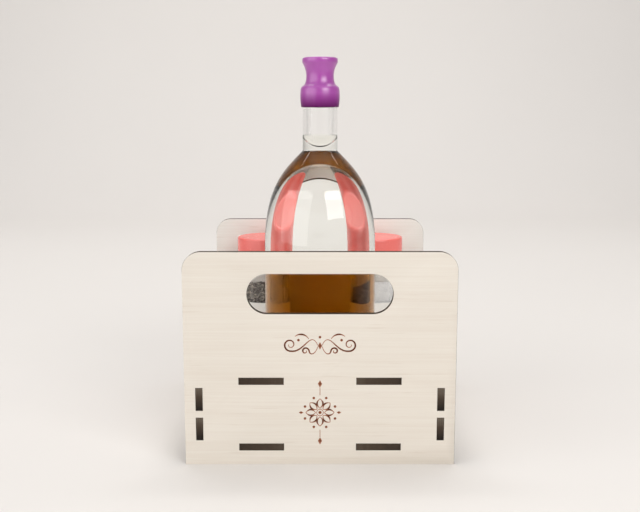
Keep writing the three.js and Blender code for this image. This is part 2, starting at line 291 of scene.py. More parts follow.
# Plywood boards
veneer = {
    "pale": paint(231, 224, 213), "warm": paint(226, 217, 205),
    # a paler copy of the veneer: painted light for the back panel, which stands in shade
    "paintedLitPale": paint(239, 237, 230), "paintedLitWarm": paint(235, 231, 223),
    "pore": paint(214, 202, 187), "poreShare": 0.45,
    "fibreAcross": 900, "fibreAlong": 14,
    "bandAcross": 95, "bandAlong": 3.2,
    "poreAcross": 620, "poreAlong": 38, "poreStops": [(0.67, 0), (0.76, 1)],
    "fibreShare": 0.75, "figure": (0.34, 0.66),
    "gloss": 0.35, "rough": 0.5, "roughMore": 0.2,
    "fibreDepth": 0.02, "poreDip": 0.6,
    "facing": 0.97,  # the part of a normal across the sheet that its faces have, and its edges don't
}
char = {
    "light": paint(105, 94, 82),
    "middle": paint(68, 55, 43),
    "dark": paint(26, 17, 10),
    "glueLines": 0.66,  # from the middle of the sheet
    "glueWidth": 0.16, "glueShare": 0.45, "glueDip": 0.8,
    "streaks": 700, "streaksAcross": 60, "streakShare": 0.3,
    "blotches": 60, "blotchShare": 0.15,
    "panelTone": 0.3, "panelToneMore": 0.3,
    "gloss": 0.3, "rough": 0.62, "roughMore": 0.25, "depth": 0.06,
    "edge": 0.18, "edgeFrom": 40,  # rounding of the cut edges
}
boards = {
    "front_panel": {"piece": "frontPanel", "thick": 1, "grain": 0, "seed": 0.3},
    # the back panel's paler veneer is painted light
    "back_panel": {"piece": "backPanel", "thick": 1, "grain": 0, "seed": 4.7, "paler": True},
    "base_plate": {"piece": "basePlate", "thick": 2, "grain": 0, "seed": 8.2},
    "shelf_plate": {"piece": "shelfPlate", "thick": 2, "grain": 0, "seed": 12.9},
    "left_side_board": {"piece": "leftSideBoard", "thick": 0, "grain": 1, "seed": 17.4},
    "right_side_board": {"piece": "rightSideBoard", "thick": 0, "grain": 1, "seed": 21.6},
}
# The tab ends carry painted shade, graded along each tab
tabs = {
    "foot": 15.0, "pitch": 18.15, "length": 13.65, "shadeClimb": (0.1, 1.05),
    "inner": 21.5, "outer": 47.9, "innerShadeTone": 0.62, "outerShadeLoss": 0.34,
}
boardFinishes = {"veneer": 0, "char": 1, "burn": 2}


def woodFinish(board):
    finish = Finish(board["piece"] + "Veneer", {"Specular IOR Level": veneer["gloss"]})
    shift = (board["seed"], board["seed"] * 3, board["seed"] * 7)

    def grained(name, detail, rough):
        scale = [veneer[name + "Across"]] * 3
        scale[board["grain"]] = veneer[name + "Along"]
        return finish.noise(scale, detail, rough, shift)

    fibre = grained("fibre", 3, 0.55)
    band = grained("band", 2, 0.5)
    pores = grained("pore", 1, 0.5)
    share = veneer["fibreShare"]
    figure = finish.between(share * fibre + (1 - share) * band, *veneer["figure"])
    # painted light: the back panel gets the paler copy of the veneer
    tones = ("paintedLitPale", "paintedLitWarm") if board.get("paler") else ("pale", "warm")
    wood = finish.mix(figure, veneer[tones[0]], veneer[tones[1]])
    dashes = finish.ramp(pores, veneer["poreStops"])
    finish.feed("Base Color", finish.mix(veneer["poreShare"] * dashes, wood, veneer["pore"]))
    finish.feed("Roughness", veneer["rough"] + veneer["roughMore"] * fibre)
    finish.bump(fibre - veneer["poreDip"] * dashes, veneer["fibreDepth"])
    return finish


# Laser-cut edges: scorched, with the glue lines of the plies and fine upright streaks
def charFinish(node, board):
    finish = Finish(board["piece"] + "Char", {"Specular IOR Level": char["gloss"]})
    low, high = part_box(node)
    thick, seed = board["thick"], board["seed"]
    middle = (low[thick] + high[thick]) / 2
    depth = abs((finish.axis("XYZ"[thick]) - middle) / mm)
    glue = 1 - finish.between(abs(depth - char["glueLines"]), 0, char["glueWidth"])
    scale = [char["streaks"]] * 3
    scale[thick] = char["streaksAcross"]
    streak = finish.noise(scale, 3, 0.6, (seed, 0, 0))
    blotch = finish.noise((char["blotches"],) * 3, 2, 0.5, (seed, 2, 0))
    if thick == 0:
        # painted shade: the ends of the upright tabs are paler at the top
        shadeClimb = ((finish.axis("Z") / mm - tabs["foot"]) % tabs["pitch"]) / tabs["length"]
        tone = finish.between(shadeClimb, *tabs["shadeClimb"])
    elif thick == 2:
        # and painted shade leaves those of the level tabs paler towards the middle
        aside = finish.between(abs(finish.axis("X")) / mm, tabs["inner"], tabs["outer"])
        tone = tabs["innerShadeTone"] - tabs["outerShadeLoss"] * aside
    else:
        tone = char["panelTone"] + char["panelToneMore"] * blotch
    tone = tone + char["streakShare"] * (streak - 0.5) + char["blotchShare"] * (blotch - 0.5)
    lower = finish.mix(finish.between(tone, 0, 0.5), char["dark"], char["middle"])
    scorched = finish.mix(finish.between(tone, 0.5, 1), lower, char["light"])
    finish.feed("Base Color", finish.mix(char["glueShare"] * glue, scorched, char["dark"]))
    finish.feed("Roughness", char["rough"] + char["roughMore"] * streak)
    finish.bump(streak - char["glueDip"] * glue, char["depth"])
    return finish


# A board starts as a copy of its node, and gets softened edges inside the node's box
def makeBoard(node, board):
    piece = bpy.data.objects.new(board["piece"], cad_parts[node].data.copy())
    bpy.context.scene.collection.objects.link(piece)
    activate(piece)
    editAll()
    bpy.ops.mesh.customdata_custom_splitnormals_clear()
    bpy.ops.mesh.remove_doubles(threshold=shaping["merge"] * mm)
    bpy.ops.mesh.dissolve_limited(angle_limit=math.radians(shaping["flatWithin"]))
    bpy.ops.object.mode_set(mode="OBJECT")
    bevel = piece.modifiers.new("edge", "BEVEL")
    bevel.width = char["edge"] * mm
    bevel.segments = 2
    bevel.limit_method = "ANGLE"
    bevel.angle_limit = math.radians(char["edgeFrom"])
    bpy.ops.object.modifier_apply(modifier=bevel.name)
    low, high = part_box(node)
    for vertex in piece.data.vertices:
        for i in range(3):
            vertex.co[i] = min(max(vertex.co[i], low[i]), high[i])
    return piece


def splitFinishes(piece, board):
    for face in piece.data.polygons:
        if face.material_index != boardFinishes["burn"]:
            onSheet = abs(face.normal[board["thick"]]) > veneer["facing"]
            face.material_index = boardFinishes["veneer" if onSheet else "char"]
    activate(piece)
    smooth(shaping["boardSmoothWithin"])


# The engraved ornament: a scrolled flourish with a rosette under it
ornament = {
    "flourishHeight": 72.5, "flourishReach": 23, "flourishRise": 11,
    "outerStem": [(1.3, 0.4), (5.5, 9.8), (9.0, -4.0)], "outerSteps": 24,
    "outerCurl": {"x": 17.4, "z": 0.6, "radius": 3.9, "start": -100, "turn": 470},
    "innerStem": [(1.3, -0.4), (2.6, -5.4), (6.0, -6.2)], "innerSteps": 16,
    "innerCurl": {"x": 8.6, "z": -3.2, "radius": 2.2, "start": 170, "turn": -400},
    "curlEnd": 0.22,  # share of a curl's radius that is left in its middle
    "crest": [(6.6, 4.2), (8.5, 7.4), (12.5, 7.6), (14.6, 5.6)],
    "sideBead": (12.6, 3.4), "topBead": 5.2,
    "rosetteHeight": 32.0, "rosetteReach": 15, "rosetteRise": 21,
    "lobes": 8,
    "petalFrom": 2.6, "petalTo": 8.4, "petalHalf": 1.75,
    "eyeRadius": 1.0, "eyeRing": 1.95, "ringSteps": 32,
    "beadCircle": 9.6, "bead": 0.8,
    "stemFrom": 1.0, "stemTo": 15.2, "diamondLong": 2.3, "diamondWide": 1.25,
    "sideDiamond": 1.6, "sideLong": 0.6, "sideWide": 0.7,
    "thin": 0.2, "thick": 0.52,
    "dotDepth": 0.4, "sunk": (0.002, 0.7),
    "brown": paint(176, 116, 86), "burnt": paint(74, 32, 18),
    "burnDepth": (0.02, 0.5), "burn": (0.6, 1.2),
    "specks": 1500, "speckShare": 0.5, "speckDepth": 0.03,
    "gloss": 0.25, "rough": 0.7, "roughMore": 0.2,
}


def engravedFinish():
    finish = Finish("engravedBurn", {"Specular IOR Level": ornament["gloss"]})
    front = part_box("front_panel")[0].y
    sunk = finish.between((finish.axis("Y") - front) / mm, *ornament["burnDepth"])
    speck = finish.noise((ornament["specks"],) * 3, 2, 0.6)
    burn = finish.between(sunk + ornament["speckShare"] * speck, *ornament["burn"])
    finish.feed("Base Color", finish.mix(burn, ornament["brown"], ornament["burnt"]))
    finish.feed("Roughness", ornament["rough"] + ornament["roughMore"] * speck)
    finish.bump(speck, ornament["speckDepth"])
    return finish


# A stroke is a round-nosed groove along (x, z) points, with its half width at each point
def cutStroke(piece, points, halves, closed=False):
    clearSelection()
    bpy.ops.curve.primitive_bezier_curve_add()
    stroke = bpy.context.object
    stroke.data.splines.clear()
    stroke.data.dimensions = "3D"
    stroke.data.bevel_depth = mm
    stroke.data.bevel_resolution = 2
    stroke.data.use_fill_caps = True
    line = stroke.data.splines.new("POLY")
    line.points.add(len(points) - 1)
    line.use_cyclic_u = closed
    for point, (x, z), half in zip(line.points, points, halves):
        point.co = (x * mm, cadBox[0].y, z * mm, 1)
        point.radius = half
    bpy.ops.object.convert(target="MESH")
    editAll()
    bpy.ops.mesh.remove_doubles(threshold=shaping["mergeCuts"] * mm)
    bpy.ops.mesh.normals_make_consistent(inside=False)
    bpy.ops.object.mode_set(mode="OBJECT")
    cutWith(piece, stroke)


# A filled spot is a shallow lens-shaped pit, four-sided for the diamonds
def cutSpot(piece, x, z, halfX, halfZ, sides=20):
    clearSelection()
    upright = (math.pi / 2, 0, 0)
    bpy.ops.mesh.primitive_uv_sphere_add(segments=sides, ring_count=8, radius=1, rotation=upright)
    spot = bpy.context.object
    bpy.ops.object.transform_apply(rotation=True)
    spot.scale = (halfX * mm, ornament["dotDepth"] * mm, halfZ * mm)
    spot.location = (x * mm, cadBox[0].y, z * mm)
    bpy.ops.object.transform_apply(location=True, scale=True)
    cutWith(piece, spot)


def swelling(count):
    thin, more = ornament["thin"], ornament["thick"] - ornament["thin"]
    return [thin + more * math.sin(math.pi * i / (count - 1)) ** 2 for i in range(count)]


def curlPoint(curl, degrees, share=1):
    angle, reach = math.radians(degrees), curl["radius"] * share
    return (curl["x"] + reach * math.cos(angle), curl["z"] + reach * math.sin(angle))


# A curl that winds in towards its middle
def volute(curl, steps=30):
    points = []
    for i in range(1, steps + 1):
        share = i / steps
        left = 1 - (1 - ornament["curlEnd"]) * share
        points.append(curlPoint(curl, curl["start"] + curl["turn"] * share, left))
    return points


# The right half of the flourish; the left half mirrors it
def flourishStrokes():
    strokes = []
    for name in ("outer", "inner"):
        stem, curl = ornament[name + "Stem"], ornament[name + "Curl"]
        start = curlPoint(curl, curl["start"])
        line = bow(*stem, start, steps=ornament[name + "Steps"])
        strokes.append([stem[0]] + line + volute(curl))
    crest = ornament["crest"]
    strokes.append([crest[0]] + bow(*crest, steps=14))
    return strokes


def cutFlourish(piece):
    middle, bead = ornament["flourishHeight"], ornament["bead"]
    for stroke in flourishStrokes():
        for side in (-1, 1):
            cutStroke(piece, [(side * x, z + middle) for x, z in stroke], swelling(len(stroke)))
    aside, up = ornament["sideBead"]
    for side in (-1, 1):
        cutSpot(piece, side * aside, middle + up, bead, bead)
    cutSpot(piece, 0, middle, ornament["diamondWide"], ornament["diamondLong"], 4)
    cutSpot(piece, 0, middle + ornament["topBead"], bead, bead)


def cutRosette(piece):
    middle, thin, lobes = ornament["rosetteHeight"], ornament["thin"], ornament["lobes"]
    start, end, bulge = ornament["petalFrom"], ornament["petalTo"], 4 / 3 * ornament["petalHalf"]
    third = (end - start) / 3
    bead, circle = ornament["bead"], ornament["beadCircle"]

    def spot(angle, out, side=0):
        x = out * math.cos(angle) - side * math.sin(angle)
        return (x, middle + out * math.sin(angle) + side * math.cos(angle))

    for lobe in range(lobes):
        angle = 2 * math.pi * lobe / lobes
        for side in (-bulge, bulge):
            handles = [(start, 0), (start + third, side), (end - third, side), (end, 0)]
            edge = [handles[0]] + bow(*handles, steps=14)
            cutStroke(piece, [spot(angle, *point) for point in edge], swelling(len(edge)))
        cutSpot(piece, *spot(angle + math.pi / lobes, circle), bead, bead)
    steps = ornament["ringSteps"]
    ring = [spot(2 * math.pi * i / steps, ornament["eyeRing"]) for i in range(steps)]
    cutStroke(piece, ring, [thin] * steps, closed=True)
    cutSpot(piece, 0, middle, ornament["eyeRadius"], ornament["eyeRadius"])
    long, wide, tip = ornament["diamondLong"], ornament["diamondWide"], ornament["stemTo"]
    sideLong, sideWide = ornament["sideLong"] * long, ornament["sideWide"] * wide
    for side in (-1, 1):
        stem = [(0, middle + side * (circle + ornament["stemFrom"])), (0, middle + side * tip)]
        cutStroke(piece, stem, [thin, thin])
        cutSpot(piece, 0, middle + side * (tip + long), wide, long, 4)
        cutSpot(piece, side * (circle + ornament["sideDiamond"]), middle, sideLong, sideWide, 4)


# The burnt finish goes on the faces that the cuts left under the panel's front
def burnCuts(piece):
    def within(name, x, z):
        onHeight = abs(z - ornament[name + "Height"]) < ornament[name + "Rise"]
        return onHeight and abs(x) < ornament[name + "Reach"]

    shallow, deep = ornament["sunk"]
    for face in piece.data.polygons:
        x, y, z = face.center.x / mm, (face.center.y - cadBox[0].y) / mm, face.center.z / mm
        if shallow < y < deep and (within("flourish", x, z) or within("rosette", x, z)):
            face.material_index = boardFinishes["burn"]


for node, board in boards.items():
    piece = makeBoard(node, board)
    finishes = [woodFinish(board), charFinish(node, board)]
    if node == "front_panel":
        finishes.append(engravedFinish())
        cutFlourish(piece)
        cutRosette(piece)
        cleanCuts(piece)
    settle(piece, node, "caddy", "plywood", *finishes)
    if node == "front_panel":
        burnCuts(piece)
    splitFinishes(piece, board)
print("boards made")


# Dressing bottle
bottle = {
    "radius": 34.5, "bodyHeight": 110.7, "shoulderHeight": 61.1,
    "shoulderBow": 38.7, "shoulderRun": 12.4, "shoulderRise": 12.5,
    "wall": 2.2, "base": 5, "punt": 4, "footRound": 5, "footWidth": 6,
    "neckRadius": 10.7, "neckHeight": 26.2,
    "finishRadius": 10, "finishHeight": 9, "lipRound": 1,
    "boreUp": 1,  # the bore narrows this far above the neck's ledge, hidden by the cap
    "steps": 128,
    "tint": paint(251, 253, 252),
    "dim": 0.03,  # share of the reflection left where wetted, below the shoulder and at its top
    "dimFrom": 0.64,  # share of the shoulder's height at which that top begins
    "neckSolid": 0.22,  # the rest of the light goes straight through the thin dry neck
}
dressing = {
    "soak": 0.8,  # the skins of the dressing lie inside the glass wall, so that no air shows between
    "layerSoak": 0.3,  # and the oil's foot inside the vinegar
    "vinegarTop": 102.2, "oilTop": 174, "meniscus": 7.3,
    "bowlSteep": 0.75, "bowlDrop": 1.5, "bowlFloor": 0.55,  # how the oil's surface curves
    "vinegarIor": 1.42, "oilIor": 1.47,
    "surfaceIor": 1.06,  # low, so that only a thin line shows
    "sheen": (0.05, 0.05, 0.05, 1), "hazes": (25, 25, 60),
    "vinegarAbsorbs": (0.825, 0.645, 0.0, 1), "vinegarDensity": 100,
    "vinegarCloud": (0.97, 0.93, 0.85, 1), "oilCloud": (0.995, 0.985, 0.94, 1),
    "filmPale": paint(196, 120, 28), "filmDeep": paint(156, 84, 9),
    "filmSwirls": 70, "filmRange": (0.35, 0.65),
    "filmGloss": 0.05, "filmRough": 0.3, "filmRoughMore": 0.3,
}
clearGlass = {
    "ior": 1.5,
    "smears": (30, 30, 18), "smearStops": [(0.5, 0), (0.75, 1)], "smearRough": 0.015,
    "waves": (45, 45, 14), "waveDepth": 0.02,
}
# How the faces of turned pieces are told apart
telling = {
    "level": 0.9, "reach": 1,
    "wetInward": 0.05, "wetSlope": -0.3,
    "surfaceInward": 0.01, "surfaceReach": 0.05,
}


def glassFinish(name, tint, shine=1, solid=1):
    constants = {"Transmission Weight": 1, "IOR": clearGlass["ior"], "Alpha": solid}
    constants["Specular Tint"] = (shine, shine, shine, 1)
    finish = Finish(name, constants)
    smear = finish.noise(clearGlass["smears"], 3, 0.6)
    finish.feed("Base Color", finish.mix(smear, tint, white))
    finish.feed("Roughness", clearGlass["smearRough"] * finish.ramp(smear, clearGlass["smearStops"]))
    finish.bump(finish.noise(clearGlass["waves"], 1, 0.5), clearGlass["waveDepth"])
    return finish


def liquidFinish(name, ior, cloud):
    constants = {"Transmission Weight": 1, "IOR": ior, "Roughness": 0, "Specular Tint": dressing["sheen"]}
    finish = Finish(name, constants)
    haze = finish.noise(dressing["hazes"], 3, 0.6)
    finish.feed("Base Color", finish.mix(haze, white, cloud))
    return finish


def darken(finish, absorbs, density):
    volume = finish.node("ShaderNodeVolumeAbsorption", None, {"Color": absorbs, "Density": density})
    finish.tree.links.new(volume.socket, finish.tree.nodes["Material Output"].inputs["Volume"])


# The thin cloudy film where oil and vinegar meet
def filmFinish():
    finish = Finish("emulsionFilm", {"Specular IOR Level": dressing["filmGloss"]})
    swirl = finish.noise((dressing["filmSwirls"],) * 3, 4, 0.6)
    share = finish.between(swirl, *dressing["filmRange"])
    finish.feed("Base Color", finish.mix(share, dressing["filmPale"], dressing["filmDeep"]))
    finish.feed("Roughness", dressing["filmRough"] + dressing["filmRoughMore"] * swirl)
    return finish


# Face by face, what a test of its height, its slope and its turn to the axis picks
def splitTurned(piece, stand, pick):
    for face in piece.data.polygons:
        away = face.center - stand
        inward = -(away.x * face.normal.x + away.y * face.normal.y)
        face.material_index = pick(away.z / mm, face.normal.z, inward / mm)


def shoulderLine(inset, steps=24):
    body = bottle["radius"] - inset
    neck = bottle["neckRadius"] - inset
    foot = bottle["bodyHeight"]
    top = foot + bottle["shoulderHeight"]
    low = (body, foot + bottle["shoulderBow"])
    high = (neck + bottle["shoulderRun"], top - bottle["shoulderRise"])
    return [(body, foot)] + bow((body, foot), low, high, (neck, top), steps=steps)


def floorLine(inset):
    level = bottle["base"] + inset - bottle["wall"]
    wall = bottle["radius"] - inset
    bend = bottle["footRound"] - inset / 2
    crown = level + bottle["punt"]
    flat = wall - bend - bottle["footWidth"]
    line = [(0, crown)] + bow((0, crown), (wall / 2, crown), (flat, level))
    line.append((wall - bend, level))
    return line + bow((wall - bend, level), (wall, level), (wall, level + bend))


def bottleProfile():
    radius, neck, wall = bottle["radius"], bottle["neckRadius"], bottle["wall"]
    ring = radius - bottle["footRound"]
    flat = ring - bottle["footWidth"]
    punt = bottle["punt"]
    outside = [(0, punt)] + bow((0, punt), (radius / 2, punt), (flat, 0))
    outside.append((ring, 0))
    outside += bow((ring, 0), (radius, 0), (radius, bottle["footRound"]))
    outside += shoulderLine(0)
    wetTo = dressing["oilTop"] + dressing["meniscus"]
    ledge = bottle["bodyHeight"] + bottle["shoulderHeight"] + bottle["neckHeight"]
    lip = ledge + bottle["finishHeight"]
    rim = bottle["finishRadius"]
    soft = bottle["lipRound"]
    outside += [(neck, wetTo), (neck, ledge), (rim, ledge), (rim, lip - soft)]
    outside += bow((rim, lip - soft), (rim, lip), (rim - soft, lip), steps=5)
    inside = floorLine(wall) + shoulderLine(wall)
    throat, bore = neck - wall, rim - wall
    narrows = ledge + bottle["boreUp"]
    inside += [(throat, wetTo), (throat, narrows), (bore, narrows + neck - rim)]
    inside += [(bore, lip - soft / 2), (bore + soft / 5, lip)]
    return outside + inside[::-1]


def vinegarProfile():
    inset = bottle["wall"] - dressing["soak"]
    top = dressing["vinegarTop"]
    return floorLine(inset) + [(bottle["radius"] - inset, top), (0, top)]


def oilProfile():
    inset = bottle["wall"] - dressing["soak"]
    foot = dressing["vinegarTop"] - dressing["layerSoak"]
    neck = bottle["neckRadius"] - inset
    level = dressing["oilTop"]
    edge = level + dressing["meniscus"]
    line = [(0, foot), (bottle["radius"] - inset, foot)] + shoulderLine(inset) + [(neck, edge)]
    steep = (neck * dressing["bowlSteep"], edge - dressing["bowlDrop"])
    low = (neck * dressing["bowlFloor"], level)
    return line + bow((neck, edge), steep, low, (0, level), steps=20)


# Plain glass, dimmed glass or the dry neck's
def pickGlass(height, slope, inward):
    if height > dressing["oilTop"] + dressing["meniscus"]:
        return 2
    floorTop = bottle["base"] + bottle["punt"] + telling["reach"]
    onFloor = slope > telling["level"] and height < floorTop
    wetted = onFloor or inward > telling["wetInward"] and slope > telling["wetSlope"]
    upper = bottle["bodyHeight"] + bottle["dimFrom"] * bottle["shoulderHeight"]
    return 1 if wetted or not bottle["bodyHeight"] < height < upper else 0


def pickVinegar(height, slope, inward):
    onTop = height > dressing["vinegarTop"] - telling["reach"]
    return 1 if slope > telling["level"] and onTop else 0


def pickOil(height, slope, inward):
    onTop = height > dressing["oilTop"] - telling["surfaceReach"]
    return 1 if onTop and (inward > telling["surfaceInward"] or slope > telling["level"]) else 0


stand = standOf("bottle_glass")
clearBottle = turnPiece("clearBottle", bottleProfile(), stand, bottle["steps"])
glassFinishes = [
    glassFinish("bottleGlass", bottle["tint"]),
    glassFinish("wetGlass", bottle["tint"], shine=bottle["dim"]),
    glassFinish("neckGlass", bottle["tint"], solid=bottle["neckSolid"]),
]
settle(clearBottle, "bottle_glass", "bottle", "bottle_glass", *glassFinishes)
splitTurned(clearBottle, stand, pickGlass)
vinegar = turnPiece("vinegarLayer", vinegarProfile(), stand, bottle["steps"])
vinegarFinish = liquidFinish("amberVinegar", dressing["vinegarIor"], dressing["vinegarCloud"])
darken(vinegarFinish, dressing["vinegarAbsorbs"], dressing["vinegarDensity"])
settle(vinegar, "vinegar", "bottle", "vinegar", vinegarFinish, filmFinish())
splitTurned(vinegar, stand, pickVinegar)
oil = turnPiece("oilLayer", oilProfile(), stand, bottle["steps"])
oilFinish = liquidFinish("clearOil", dressing["oilIor"], dressing["oilCloud"])
surfaceFinish = liquidFinish("oilSurface", dressing["surfaceIor"], dressing["oilCloud"])
settle(oil, "oil", "bottle", "oil", oilFinish, surfaceFinish)
splitTurned(oil, stand, pickOil)
print("bottle and dressing made")


# Bottle cap and its liner
cap = {
    "bore": 10.2, "ceiling": 10.3,
    "footRadius": 11.5, "footRound": 0.5, "footFlare": 0.04,
    "collarRadius": 12.3, "collar": 11.65, "collarRound": 1.0, "swell": 0.12,
    "collarTaper": 0.4, "collarTurn": 0.55, "collarIn": 1.2, "collarUp": 0.75,
    "stepRadius": 9.3, "step": 13.7, "stepHandle": (0.3, -0.2), "stepEnd": (-0.1, 0.6),
    "waistRadius": 8.4, "waist": 18.6,
    "topRadius": 10.85, "rim": 26.8, "top": 29.74, "rimRound": 1.5,
    "dish": 0.8, "dishEdge": 0.82, "dishFloor": 0.74, "dishDrop": 0.1,
    "purple": paint(170, 66, 168), "deep": paint(158, 54, 156),
    # the foot's dark purple is painted shade
    "footShadePurple": paint(80, 8, 72), "footFade": (-1, 8.5),
    "rough": 0.34, "shine": 0.1, "coatRough": 0.3, "coatIor": 1.8,
}
capSeal = {
    "radius": 10, "thick": 1.2, "round": 0.25, "steps": 64,
    "pale": paint(240, 238, 232), "shade": paint(228, 225, 217),
    "rough": 0.75, "speckles": 1600,
}
plastic = {
    "ior": 1.5, "shine": 0.5, "speckles": 900, "speckDepth": 0.012, "roughSpread": 0.08,
    "clouds": 35, "cloudRange": (0.35, 0.75),
}


def plasticFinish(name, rough, shine=plastic["shine"], speckles=plastic["speckles"]):
    finish = Finish(name, {"IOR": plastic["ior"], "Specular IOR Level": shine})
    grain = finish.noise((speckles,) * 3, 2, 0.6)
    finish.feed("Roughness", rough + plastic["roughSpread"] * (grain - 0.5))
    finish.bump(grain, plastic["speckDepth"])
    return finish


def clouded(finish, main, deep):
    cloud = finish.noise((plastic["clouds"],) * 3, 2, 0.5)
    return finish.mix(finish.between(cloud, *plastic["cloudRange"]), main, deep)


# The cap's foot is darkened by painted shade, and its lacquer thins out towards the foot
def capFinish():
    finish = plasticFinish("purpleCap", cap["rough"], cap["shine"])
    height = (finish.axis("Z") - standOf("bottle_cap").z) / mm
    upFromFoot = finish.between(height, *cap["footFade"])
    purple = clouded(finish, cap["purple"], cap["deep"])
    # painted shade: the purple darkens towards the foot
    finish.feed("Base Color", finish.mix(upFromFoot, cap["footShadePurple"], purple))
    finish.feed("Coat Weight", upFromFoot * upFromFoot)
    finish.feed("Coat Roughness", cap["coatRough"])
    finish.feed("Coat IOR", cap["coatIor"])
    return finish


def capProfile():
    bore, ceiling = cap["bore"], cap["ceiling"]
    foot, soft = cap["footRadius"], cap["footRound"]
    line = [(0, ceiling), (bore, ceiling), (bore, soft), (bore + soft / 2, 0), (foot - soft, 0)]
    line += bow((foot - soft, 0), (foot, 0), (foot + cap["footFlare"], soft), steps=4)
    collar, wide, turn = cap["collar"], cap["collarRadius"], cap["collarRound"]
    swell, taper = (wide + cap["swell"], collar / 2), (wide - cap["collarTaper"], collar - turn)
    line += bow(line[-1], swell, taper, steps=14)
    over = (wide - cap["collarIn"] * turn, collar + cap["collarUp"] * turn)
    line += bow(line[-1], (wide - cap["collarTurn"], collar), over, steps=6)
    slim, step = cap["stepRadius"], cap["step"]
    ends = [(slim + out, step + up) for out, up in (cap["stepHandle"], cap["stepEnd"])]
    line += bow(line[-1], *ends, steps=5)
    waist, top = cap["waistRadius"], cap["topRadius"]
    middle = (step + cap["waist"]) / 2
    line += bow(line[-1], (waist, middle), (waist, cap["waist"]), steps=8)
    flare = (cap["waist"] + cap["rim"]) / 2
    line += bow((waist, cap["waist"]), (waist, flare), (top, cap["rim"]), steps=12)
    edge, crown = cap["rimRound"], cap["top"]
    line += [(top, crown - edge)]
    line += bow((top, crown - edge), (top, crown), (top - edge, crown), steps=6)
    dish = crown - cap["dish"]
    dishEdge = (top * cap["dishEdge"], crown - cap["dishDrop"])
    return line + bow((top - edge, crown), dishEdge, (top * cap["dishFloor"], dish), (0, dish), steps=12)


def discProfile(radius, thick, soft):
    line = [(0, 0), (radius - soft, 0)]
    line += bow((radius - soft, 0), (radius, 0), (radius, soft), steps=4)
    line += [(radius, thick - soft)]
    line += bow((radius, thick - soft), (radius, thick), (radius - soft, thick), steps=4)
    return line + [(0, thick)]


linerFinish = plasticFinish("linerFoam", capSeal["rough"], speckles=capSeal["speckles"])
linerFinish.feed("Base Color", clouded(linerFinish, capSeal["pale"], capSeal["shade"]))
bottleCap = turnPiece("bottleCap", capProfile(), standOf("bottle_cap"))
settle(bottleCap, "bottle_cap", "bottle_stopper", "cap_plastic", capFinish())
sealProfile = discProfile(capSeal["radius"], capSeal["thick"], capSeal["round"])
capLiner = turnPiece("capLiner", sealProfile, standOf("cap_liner"), capSeal["steps"])
settle(capLiner, "cap_liner", "bottle_stopper", "liner_foam", linerFinish)
print("cap made")


# Spice jars, alike but for what they hold
jar = {
    "radius": 21.7, "height": 101.5, "neckRadius": 19.6, "neckHeight": 18.5, "shoulder": 6,
    "wall": 2.2, "base": 4, "footRound": 3, "footRecess": 0.6, "footRing": 1.7, "lipRound": 0.8,
    "tint": paint(252, 253, 253),
    "solid": 0.35,  # the rest of the light goes straight through the walls, and lights what they hold
}
filling = {"top": 74.2, "gap": 0.15, "rings": 14, "steps": 72}
label = {
    "inner": 21.85, "outer": 22.1, "height": 45,
    "pale": paint(246, 244, 240), "shade": paint(236, 233, 227), "shadeRange": (0.35, 0.65),
    "fibres": (500, 500, 1400), "clouds": 40, "fibreShare": 0.5, "fibreDepth": 0.02,
    "seam": paint(176, 170, 160), "seamWidth": (0.05, 0.22), "seamShare": 0.6, "seamDip": 2,
    "gloss": 0.3, "rough": 0.72, "roughMore": 0.15,
}
sifter = {
    "skirt": 17.2, "wall": 1.2, "depth": 6, "flange": 1, "deck": 1.4, "round": 0.3,
    "dishRun": 0.8, "dish": 0.35, "steps": 72,
    "holeCircle": 9.5, "mouthRadius": 3.2, "drill": 6,
    "pale": paint(238, 236, 230), "shade": paint(226, 223, 215), "rough": 0.45,
}
lid = {
    "inner": 20, "radius": 21.8, "height": 20, "top": 1.8, "round": 1.6, "footRound": 0.35,
    "red": paint(250, 119, 111), "redDeep": paint(244, 107, 100), "rough": 0.26, "shine": 0.8,
    "linerThick": 0.8, "linerRound": 0.2, "linerSteps": 64,
}
spices = {
    "pepper": {"holes": 6, "holeRadius": 1.7, "heap": 0.8, "bank": 15, "seed": 3},
    "salt": {"holes": 9, "holeRadius": 1.3, "heap": 0.6, "bank": 14, "seed": 8},
}
pepper = {
    "grains": 1100, "depth": 0.4, "gloss": 0.3, "rough": 0.75, "roughMore": 0.2,
    "dark": paint(88, 81, 75), "brown": paint(160, 151, 142), "brownStops": [(0.25, 0), (0.6, 1)],
    "pale": paint(206, 194, 176), "paleStops": [(0.86, 0), (0.93, 1)],
    # the gap colour is painted shade between the grains
    "gap": paint(58, 52, 47), "creviceShadeRange": (0.35, 0.8),
}
salt = {
    "grains": 1700, "depth": 0.25, "gloss": 0.5, "rough": 0.45, "roughMore": 0.4,
    "pale": paint(244, 243, 241), "grey": paint(226, 225, 224),
    # the gap colour is painted shade between the grains
    "gap": paint(200, 199, 198), "creviceShadeRange": (0.45, 0.9),
}


def jarWallLine(inset):
    body, neck = jar["radius"] - inset, jar["neckRadius"] - inset
    high = jar["height"] - jar["neckHeight"]
    low = high - jar["shoulder"]
    half = (low + high) / 2
    return [(body, low)] + bow((body, low), (body, half), (neck, half), (neck, high), steps=12)


